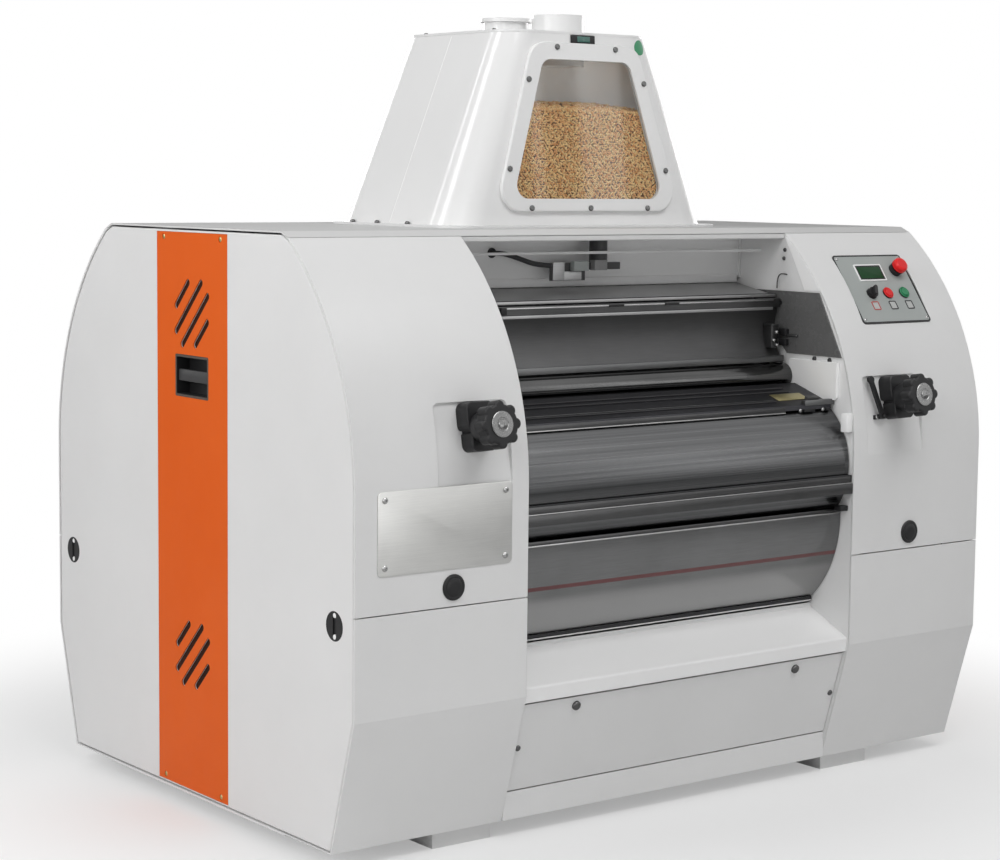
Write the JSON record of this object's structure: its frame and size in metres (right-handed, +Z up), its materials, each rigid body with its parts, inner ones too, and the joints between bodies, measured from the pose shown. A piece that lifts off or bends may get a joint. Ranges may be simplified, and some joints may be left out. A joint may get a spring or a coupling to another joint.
{
  "type": "roller mill",
  "caption": "Four-roll flour mill with a windowed grain hopper, curved side cabinets, geared grinding rolls, feed rolls, gap wheels, hinged guards and a control panel.",
  "frame": {"origin": "on the floor under the middle of the mill", "axes": "+X along the rolls to the right-hand cabinet, -Y towards the operator's front, +Z up"},
  "size_m": [1.9, 1.5348, 1.862],
  "materials": {
    "white_paint": "satin powder coat",
    "orange_paint": "satin",
    "sheet_steel": "brushed",
    "chilled_iron": "fine ground",
    "bright_steel": "polished",
    "machine_iron": "machined",
    "black_plastic": "matte",
    "panel_grey": "matte",
    "clear_pane": "clear",
    "smoked_pane": "smoked",
    "wheat": "loose grain",
    "lead_rubber": "matte",
    "red_plastic": "gloss",
    "green_plastic": "gloss"
  },
  "bodies": {
    "mill_frame": {"base_frame": "white_paint", "left_side_frame": "white_paint", "right_side_frame": "white_paint", "deck": "white_paint", "flow_sheets": "sheet_steel", "hopper_shell": "white_paint", "hopper_lid": "white_paint", "window_frame": "white_paint", "window_pane": "clear_pane", "grain": "wheat", "screws": "bright_steel", "front_upper_covers": "white_paint", "front_lower_covers": "white_paint", "rear_covers": "white_paint", "wheel_brackets": "black_plastic", "control_panel": "panel_grey", "panel_gasket": "black_plastic", "button_bezels": "black_plastic", "outer_bearings": "machine_iron", "feed_plates": "sheet_steel", "roll_guards": "sheet_steel", "aprons": "white_paint", "lower_panels": "white_paint", "drive_guards": "smoked_pane", "feed_motors": "machine_iron", "level_sensor": "black_plastic", "sensor_lead": "lead_rubber"},
    "front_outer_roll": {"front_outer_roll": "chilled_iron", "front_outer_gear": "machine_iron"},
    "front_inner_roll": {"front_inner_roll": "chilled_iron", "front_inner_drive": "machine_iron"},
    "front_carriage": {"front_carriage": "machine_iron"},
    "front_feed_roll": {"front_feed_roll": "bright_steel"},
    "front_feed_gate": {"front_feed_gate": "sheet_steel"},
    "front_lower_guard": {"front_lower_guard": "sheet_steel"},
    "front_left_wheel": {"front_left_wheel": "black_plastic"},
    "front_right_wheel": {"front_right_wheel": "black_plastic"},
    "rear_outer_roll": {"rear_outer_roll": "chilled_iron", "rear_outer_gear": "machine_iron"},
    "rear_inner_roll": {"rear_inner_roll": "chilled_iron", "rear_inner_drive": "machine_iron"},
    "rear_carriage": {"rear_carriage": "machine_iron"},
    "rear_feed_roll": {"rear_feed_roll": "bright_steel"},
    "rear_feed_gate": {"rear_feed_gate": "sheet_steel"},
    "rear_lower_guard": {"rear_lower_guard": "sheet_steel"},
    "rear_left_wheel": {"rear_left_wheel": "black_plastic"},
    "rear_right_wheel": {"rear_right_wheel": "black_plastic"},
    "lock_lever": {"lock_lever": "bright_steel"},
    "left_end_cover": {"left_end_cover": "white_paint", "left_stripe": "orange_paint"},
    "left_front_latch": {"left_front_latch": "black_plastic"},
    "left_rear_latch": {"left_rear_latch": "black_plastic"},
    "right_end_cover": {"right_end_cover": "white_paint", "right_stripe": "orange_paint"},
    "right_front_latch": {"right_front_latch": "black_plastic"},
    "right_rear_latch": {"right_rear_latch": "black_plastic"},
    "estop_button": {"estop_button": "red_plastic"},
    "red_button": {"red_button": "red_plastic"},
    "green_button": {"green_button": "green_plastic"},
    "selector_knob": {"selector_knob": "black_plastic"}
  },
  "joints": [
    {"name": "front_gap", "type": "slide", "parent": "mill_frame", "child": "front_carriage", "axis": [0, 0.8192, 0.5736], "range_m": [0, 0.003]},
    {"name": "front_inner_spin", "type": "hinge", "parent": "front_carriage", "child": "front_inner_roll", "pos_m": [0, -0.20485, 0.97116], "axis": [1, 0, 0], "continuous": true},
    {"name": "front_outer_spin", "type": "hinge", "parent": "mill_frame", "child": "front_outer_roll", "pos_m": [0, -0.485, 0.775], "axis": [1, 0, 0], "continuous": true},
    {"name": "front_left_adjust", "type": "hinge", "parent": "mill_frame", "child": "front_left_wheel", "pos_m": [-0.6425, -0.6471, 0.932], "axis": [0, -0.9853, 0.171], "range_deg": [0, 1080]},
    {"name": "front_right_adjust", "type": "hinge", "parent": "mill_frame", "child": "front_right_wheel", "pos_m": [0.6425, -0.6471, 0.932], "axis": [0, -0.9853, 0.171], "range_deg": [0, 1080]},
    {"name": "front_feed_spin", "type": "hinge", "parent": "mill_frame", "child": "front_feed_roll", "pos_m": [0, -0.43, 0.98], "axis": [1, 0, 0], "continuous": true},
    {"name": "front_gate_tilt", "type": "hinge", "parent": "mill_frame", "child": "front_feed_gate", "pos_m": [0, -0.405, 1.16], "axis": [1, 0, 0], "range_deg": [0, 25]},
    {"name": "front_guard_tilt", "type": "hinge", "parent": "mill_frame", "child": "front_lower_guard", "pos_m": [0, -0.532, 0.432], "axis": [1, 0, 0], "range_deg": [0, 55]},
    {"name": "rear_gap", "type": "slide", "parent": "mill_frame", "child": "rear_carriage", "axis": [0, -0.8192, 0.5736], "range_m": [0, 0.003]},
    {"name": "rear_inner_spin", "type": "hinge", "parent": "rear_carriage", "child": "rear_inner_roll", "pos_m": [0, 0.20485, 0.97116], "axis": [1, 0, 0], "continuous": true},
    {"name": "rear_outer_spin", "type": "hinge", "parent": "mill_frame", "child": "rear_outer_roll", "pos_m": [0, 0.485, 0.775], "axis": [1, 0, 0], "continuous": true},
    {"name": "rear_left_adjust", "type": "hinge", "parent": "mill_frame", "child": "rear_left_wheel", "pos_m": [-0.6425, 0.6471, 0.932], "axis": [0, 0.9853, 0.171], "range_deg": [0, 1080]},
    {"name": "rear_right_adjust", "type": "hinge", "parent": "mill_frame", "child": "rear_right_wheel", "pos_m": [0.6425, 0.6471, 0.932], "axis": [0, 0.9853, 0.171], "range_deg": [0, 1080]},
    {"name": "rear_feed_spin", "type": "hinge", "parent": "mill_frame", "child": "rear_feed_roll", "pos_m": [0, 0.43, 0.98], "axis": [1, 0, 0], "continuous": true},
    {"name": "rear_gate_tilt", "type": "hinge", "parent": "mill_frame", "child": "rear_feed_gate", "pos_m": [0, 0.405, 1.16], "axis": [-1, 0, 0], "range_deg": [0, 25]},
    {"name": "rear_guard_tilt", "type": "hinge", "parent": "mill_frame", "child": "rear_lower_guard", "pos_m": [0, 0.532, 0.432], "axis": [-1, 0, 0], "range_deg": [0, 55]},
    {"name": "lock_lever_swing", "type": "hinge", "parent": "mill_frame", "child": "lock_lever", "pos_m": [0.5955, -0.66871, 0.89515], "axis": [0, -0.9853, 0.171], "range_deg": [0, 55]},
    {"name": "left_cover_pull", "type": "slide", "parent": "mill_frame", "child": "left_end_cover", "axis": [-1, 0, 0], "range_m": [0, 0.06]},
    {"name": "left_front_latch_turn", "type": "hinge", "parent": "left_end_cover", "child": "left_front_latch", "pos_m": [-0.95, -0.593, 0.53], "axis": [-1, 0, 0], "range_deg": [0, 90]},
    {"name": "left_rear_latch_turn", "type": "hinge", "parent": "left_end_cover", "child": "left_rear_latch", "pos_m": [-0.95, 0.593, 0.53], "axis": [-1, 0, 0], "range_deg": [0, 90]},
    {"name": "right_cover_pull", "type": "slide", "parent": "mill_frame", "child": "right_end_cover", "axis": [1, 0, 0], "range_m": [0, 0.06]},
    {"name": "right_front_latch_turn", "type": "hinge", "parent": "right_end_cover", "child": "right_front_latch", "pos_m": [0.95, -0.593, 0.53], "axis": [1, 0, 0], "range_deg": [0, 90]},
    {"name": "right_rear_latch_turn", "type": "hinge", "parent": "right_end_cover", "child": "right_rear_latch", "pos_m": [0.95, 0.593, 0.53], "axis": [1, 0, 0], "range_deg": [0, 90]},
    {"name": "estop_press", "type": "slide", "parent": "mill_frame", "child": "estop_button", "axis": [0, 0.8098, -0.5868], "range_m": [0, 0.004], "stiffness_N_per_m": 900, "springref_m": -0.002},
    {"name": "red_press", "type": "slide", "parent": "mill_frame", "child": "red_button", "axis": [0, 0.8098, -0.5868], "range_m": [0, 0.003], "stiffness_N_per_m": 500, "springref_m": -0.002},
    {"name": "green_press", "type": "slide", "parent": "mill_frame", "child": "green_button", "axis": [0, 0.8098, -0.5868], "range_m": [0, 0.003], "stiffness_N_per_m": 500, "springref_m": -0.002},
    {"name": "selector_turn", "type": "hinge", "parent": "mill_frame", "child": "selector_knob", "pos_m": [0.6745, -0.54576, 1.18419], "axis": [0, -0.8098, 0.5868], "range_deg": [-45, 45]}
  ],
  "couplings": [
    {"joint": "front_outer_spin", "follows": "front_inner_spin", "ratio": -1.303},
    {"joint": "front_left_adjust", "follows": "front_gap", "rad_per_m": 6283.2},
    {"joint": "front_right_adjust", "follows": "front_gap", "rad_per_m": 6283.2},
    {"joint": "rear_outer_spin", "follows": "rear_inner_spin", "ratio": -1.303},
    {"joint": "rear_left_adjust", "follows": "rear_gap", "rad_per_m": 6283.2},
    {"joint": "rear_right_adjust", "follows": "rear_gap", "rad_per_m": 6283.2}
  ]
}
